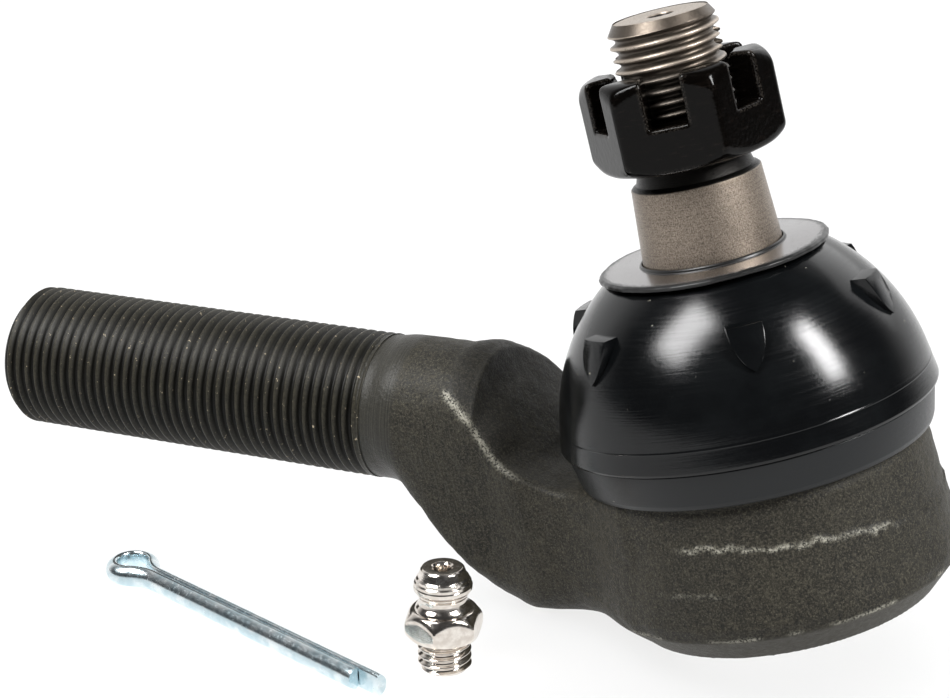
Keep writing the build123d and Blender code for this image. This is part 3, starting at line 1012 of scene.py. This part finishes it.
def build_disc(material):
    outline = rounded([
        (8.98, 29.3), (8.98, 30.15, 0.05), (9.1, 30.25, 0.05), (9.25, 30.1, 0.05), (9.32, 29.85, 0.05),
        (14.3, 29.8, 0.2), (14.65, 29.55, 0.15), (14.6, 29.15, 0.15), (14.1, 29.0, 0.15), (9.1, 29.0, 0.1),
        (8.98, 29.3),
    ], 0.1)
    disc = lathe("sealing_disc", outline, material, 192, 40)
    points = points_of(disc)
    x, y = points.T[:2]
    turn = np.arctan2(y, x)
    edge = ramp(np.hypot(x, y), 13.4, 14.6)
    ragged = 0.05 * np.sin(9 * turn + 1) + 0.04 * np.sin(23 * turn) + 0.03 * np.sin(51 * turn + 2)
    points[:, 0] *= 1 + edge * ragged / 15
    points[:, 1] *= 1 + edge * ragged / 15
    points[:, 2] += edge * 0.05 * np.sin(5 * turn)
    disc.data.vertices.foreach_set("co", (points * MM).ravel())
    return disc


# ---- stud and nut ----
def build_stud(body_material, thread_material):
    head = [(0, -5.5), (12.0, -5.5, 0.3)]
    low = math.degrees(math.asin(-5.3 / 13.5))
    ball = arc((0, 0), 13.5, low, -1, 24)
    upper = [
        (13.4, 0.0, 0.1), (6.8, 0.0, 0.4), (6.5, 0.8), (6.5, 14.0, 2), (8.87, 27.5, 1.5), (8.87, 30.2, 1),
        (8.25, 39.6, 0.12), (8.0, 39.85, 0.1), (7.5, 40.1, 0.2), (6.9, 42.25, 0.2), (6.0, 42.6),
    ]
    stud = lathe("stud_taper", rounded(head + ball + upper, 0.2), body_material, 192, 40)
    thread = thread_object(
        "stud_thread", on_stud, thread_material, crest=6.9, root=6.08, pitch=THREAD_PITCH, end=18.2,
        tip_chamfer=0.5, fade=0.8, segments=112, lead=0.9, slope=0.65,
    )
    top = rounded([
        (0, 56.6), (0.95, 57.0, 0.1), (1.05, 58.9, 0.1), (1.80, 60.2, 0.12), (5.3, STUD_TOP, 0.3),
        (5.98, 60.15),
    ], 0.15)
    cap = lathe("stud_cap", top, thread_material, 112, 40)
    set_mask(cap, "crest", 0.8)
    foot = lathe("stud_foot", [(6.9, 42.1), (6.0, 42.1), (0, 42.1)], thread_material, 112, 40)
    set_mask(foot, "crest", 0.0)
    thread = join([thread, cap, foot])
    weld(thread, 0.02)
    drill_cross_hole(thread)
    return stud, thread


def on_stud(radius, turn, s):
    return radius * np.cos(turn), -radius * np.sin(turn), STUD_TOP - s


def drill_cross_hole(thing):
    rod = [(0, -9), (HOLE_RADIUS, -9), (HOLE_RADIUS, 9), (0, 9)]
    cutter = lathe("cutter", rod, thing.data.materials[0], 48, 40)
    aim = Matrix.Rotation(math.radians(HOLE_TURN), 4, "Z") @ Matrix.Rotation(math.radians(90), 4, "Y")
    cutter.data.transform(Matrix.Translation((0, 0, HOLE_HEIGHT * MM)) @ aim)
    tool = thing.modifiers.new("hole", "BOOLEAN")
    tool.operation, tool.solver, tool.object = "DIFFERENCE", "EXACT", cutter
    bake_modifiers(thing)
    bpy.data.objects.remove(cutter)


def bake_modifiers(thing):
    graph = bpy.context.evaluated_depsgraph_get()
    graph.update()
    mesh = bpy.data.meshes.new_from_object(thing.evaluated_get(graph))
    thing.modifiers.clear()
    thing.data = mesh


def nut_field(x, y, z):
    u, v = turned(x, y, -NUT_TURN)
    radius = np.hypot(u, v)
    slots = [soft_max(np.abs(turned(u, v, -60 * k)[1]) - 2.4, 48.0 - z, 0.5) for k in range(3)]
    slots = soft_min(soft_min(slots[0], slots[1], 0.3), slots[2], 0.3)
    ends = soft_max(z - NUT_TOP, NUT_FOOT - z, 0.3)
    top_cone = (radius - 11.0 + (z - NUT_TOP) * 0.95) * 0.72
    foot_cone = (radius - 10.75 - (z - NUT_FOOT) * 1.2) * 0.64
    solid = soft_max(hexagon(u, v, 10.8, 0, 0.5), ends, 0.5)
    solid = soft_max(soft_max(solid, top_cone, 0.9), foot_cone, 0.6)
    solid = soft_max(solid, -slots, 0.45)
    angle = np.arctan2(v, u) / (2 * np.pi)
    groove = np.abs(((z / THREAD_PITCH - angle) % 1.0) - 0.5) * 2
    mouth = np.maximum(0, 0.9 - (NUT_TOP - z)) + np.maximum(0, 0.9 - (z - NUT_FOOT))
    bore = radius - (7.0 + 0.55 * groove * ramp(NUT_TOP - z, 0, 1.2) + mouth)
    return soft_max(solid, -bore, 0.2)


def build_nut(material):
    reach = np.arange(-12.8, 12.9, 0.21)
    nut = field_object("nut", nut_field, (reach, reach, steps_between((41.9, 54.6, 0.2))), material, 0.25)
    bend = bend_of(nut_field, points_of(nut), 0.2)
    set_mask(nut, "wear", ramp(bend, 0.8, 2.2))
    return nut


# ---- loose pieces ----
WIRE_R = 1.6
LONG_LEG, SHORT_LEG = 50.0, 46.5
PIN_AT, PIN_TURN = (-83.6, -20.3), -20.8
FITTING_AT = (-32.7, -27.3)


def pin_path():
    """Centre line of the folded wire, from the long leg's end round the eye to the short one's."""
    gap, eye, bend = 0.06, 2.1, 7.0
    bx = math.sqrt((eye + bend) ** 2 - (gap + bend) ** 2)
    meet = math.degrees(math.atan2(gap + bend, bx))
    path = [(x, gap) for x in np.linspace(LONG_LEG, bx + 0.4, 60)]
    turn = np.radians(np.linspace(270, 180 + meet, 14))
    path += [(bx + bend * math.cos(t), gap + bend + bend * math.sin(t)) for t in turn]
    turn = np.radians(np.linspace(meet, 360 - meet, 64))[1:-1]
    path += [(eye * math.cos(t), eye * math.sin(t)) for t in turn]
    turn = np.radians(np.linspace(180 - meet, 90, 14))
    path += [(bx + bend * math.cos(t), -gap - bend + bend * math.sin(t)) for t in turn]
    path += [(x, -gap) for x in np.linspace(bx + 0.4, SHORT_LEG, 56)]
    return np.array(path)


def build_pin(material):
    path = pin_path()
    ahead = np.gradient(path, axis=0)
    ahead /= np.linalg.norm(ahead, axis=1)[:, None]
    out = np.stack([-ahead[:, 1], ahead[:, 0]], -1)  # left of travel
    # The flat of the half round faces the other leg, so the round back is on the outside.
    if path[0, 1] + out[0, 1] < path[0, 1]:
        out = -out
    corner = [(0.0, 1.15), (0.08, 1.36), (0.24, 1.52)]
    back = [(WIRE_R * math.sin(a), WIRE_R * math.cos(a)) for a in np.radians(np.linspace(16, 164, 20))]
    section = np.array(corner + back + [(u, -v) for u, v in reversed(corner)] + [(0.0, 0.0)])
    # The point of each leg is nipped: the section shrinks at its very end.
    travel = np.concatenate([[0], np.cumsum(np.linalg.norm(np.diff(path, axis=0), axis=1))])
    left = np.minimum(travel, travel[-1] - travel)
    shrink = 0.94 + 0.06 * ramp(left, 0.0, 0.35)
    rows = []
    for place, way, size in zip(path, out, shrink):
        spot = place[None] + section[:, :1] * size * way[None]
        rows.append(np.concatenate([spot, section[:, 1:] * size], 1))
    points = np.array(rows)
    n = len(section)
    faces = grid_faces(len(rows), n).tolist()
    faces.append(list(range(n)))
    faces.append([(len(rows) - 1) * n + k for k in range(n)][::-1])
    x, y, z = points.reshape(-1, 3).T
    x, y = turned(x, y, PIN_TURN)
    placed = np.stack([PIN_AT[0] + x, PIN_AT[1] + y, FLOOR + WIRE_R + z], -1)
    pin = new_object("split_pin", placed, faces, material)
    weld(pin, sharp=40)
    return pin


def hex_field(x, y, z):
    x, y, z = x - FITTING_AT[0], y - FITTING_AT[1], z - FLOOR
    foot, top = 4.5, 8.4
    radius = np.hypot(x, y)
    ends = soft_max(z - top, foot - z, 0.2)
    top_cone = (radius - 4.1 + (z - top) * 0.75) * 0.8
    foot_cone = (radius - 4.3 - (z - foot) * 0.9) * 0.74
    solid = soft_max(hexagon(x, y, 4.5, 11, 0.18), ends, 0.15)
    return soft_max(soft_max(solid, top_cone, 0.35), foot_cone, 0.35)


def build_fitting(material):
    reach = np.arange(-5.4, 5.45, 0.11)
    axes = (reach + FITTING_AT[0], reach + FITTING_AT[1], np.arange(4.2, 8.75, 0.1) + FLOOR)
    hexagon = field_object("fitting_hex", hex_field, axes, material, 0.12)
    foot = rounded([
        (0, 0.9), (0.95, 0.9), (1.0, 0.35, 0.1), (1.25, 0.0, 0.1), (2.55, 0.0, 0.15),
        (2.82, 0.3, 0.1), (2.8, 0.5),
    ], 0.1)
    head = rounded([
        (2.82, 4.1), (2.82, 4.7, 0.1), (3.6, 4.8), (3.6, 8.2), (3.7, 8.35, 0.15), (3.5, 8.75, 0.25),
        (3.15, 9.1, 0.3), (3.02, 9.6, 0.4), (3.10, 10.1, 0.4), (3.30, 10.45, 0.1), (3.38, 10.7, 0.1),
        (3.72, 11.1, 0.15), (3.76, 11.6, 0.15), (3.66, 11.75, 0.05), (3.62, 12.1, 0.05), (3.42, 12.25, 0.05),
        (3.36, 12.6, 0.05), (3.12, 12.8, 0.05), (2.78, 13.8, 0.15), (2.55, 14.0, 0.12), (1.45, 14.0, 0.15),
        (1.1, 13.75, 0.15), (1.0, 13.2, 0.1), (1.15, 12.6), (1.35, 12.2), (1.35, 8.6), (0, 8.6),
    ], 0.1)
    body = lathe("fitting_head", [(r, z + FLOOR) for r, z in head], material, 112, 34, FITTING_AT)
    base = lathe("fitting_foot", [(r, z + FLOOR) for r, z in foot], material, 96, 34, FITTING_AT)
    thread = thread_object(
        "fitting_thread", on_fitting, material,
        crest=3.42, root=2.84, pitch=1.0, end=4.4, tip_chamfer=0.25, fade=0.6, segments=96,
    )
    return hexagon, body, base, thread


def on_fitting(radius, turn, s):
    return FITTING_AT[0] + radius * np.cos(turn), FITTING_AT[1] + radius * np.sin(turn), FLOOR + 0.12 + s


# ---- the scene ----
def dress(node, material):
    thing = nodes[node]
    thing.data.materials.clear()
    thing.data.materials.append(material)


def lean(*pieces):
    """Turn pieces made about the socket's own axis to where the socket lies."""
    for piece in pieces:
        piece.data.transform(LEAN)


def settle_piece(pieces, body, node):
    """Say which body the pieces ride on, and hide the CAD node they stand for."""
    for piece in pieces:
        if body:
            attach(piece, body)
        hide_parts(node)


def flexing_spring(node, name, material):
    """A copy of a CAD spring, which lies between the two bodies it bears on, in the given material; it rides
    on no body.
    """
    mesh = nodes[node].data.copy()
    mesh.materials.clear()
    mesh.materials.append(material)
    spring = link_new(name, mesh)
    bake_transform(spring)
    settle_piece((spring,), None, node)


add_camera()
add_world()
bpy.context.scene.view_settings.view_transform = "Standard"

forged = forged_steel()
rubber = boot_rubber()
threaded = thread_steel()
nickel = bright_nickel()
sintered = sintered_steel()

forging = build_forging(forged)
shank, shank_end = build_shank(threaded)
lean(forging, shank, shank_end)
settle_piece((forging, shank, shank_end), "socket", "forged_housing")

skirt, dome = build_boot(rubber)
lean(skirt, dome)
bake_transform(skirt)
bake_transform(dome)
settle_piece((skirt, dome), None, "dust_boot")

disc = build_disc(disc_plastic())
lean(disc)
settle_piece((disc,), "head", "boot_sealing_disc")

stud, stud_thread = build_stud(stud_steel(), stud_thread_steel())
lean(stud, stud_thread)
settle_piece((stud, stud_thread), "stud", "ball_stud")

nut = build_nut(nut_black())
lean(nut)
settle_piece((nut,), "nut", "castle_nut")

pin = build_pin(bright_zinc())
settle_piece((pin,), "pin", "cotter_pin")

settle_piece(build_fitting(nickel), "fitting", "grease_fitting")

for bearing in ("upper_bearing", "lower_bearing", "half_ball_bearing"):
    dress(bearing, sintered)
dress("cover_plate", plate_steel())
dress("boot_retaining_ring", machined_steel())
dress("fitting_check_ball", nickel)
tempered = blue_spring_steel()
flexing_spring("preload_spring", "preload_coil", tempered)
flexing_spring("fitting_spring", "fitting_coil", tempered)

FAR = 4000
floor_points = [(-FAR, -FAR, FLOOR), (FAR, -FAR, FLOOR), (FAR, FAR, FLOOR), (-FAR, FAR, FLOOR)]
floor = new_object("floor", floor_points, [[0, 1, 2, 3]], floor_paint())

key = add_softbox("key", (-0.235, -0.442, 0.866), 0.62, (0.22, 0.34), 5.5)
side = add_softbox("side", (0.86, -0.12, 0.49), 0.60, (0.12, 0.32), 5.1)
back = add_softbox("back", (0.35, 0.85, 0.45), 1.0, (0.8, 0.5), 1.3)
for lamp in (key, side, back):
    share_light(lamp, floor, "EXCLUDE")
wash = add_sun("floor_wash", (0, 0, 1), 2.9, 0)
wash.data.use_shadow = False
shade = add_sun("floor_shade", (-0.1, -0.3, 1.0), 0.5, 90)
for lamp in (wash, shade):
    share_light(lamp, floor, "INCLUDE")

bpy.context.view_layer.update()
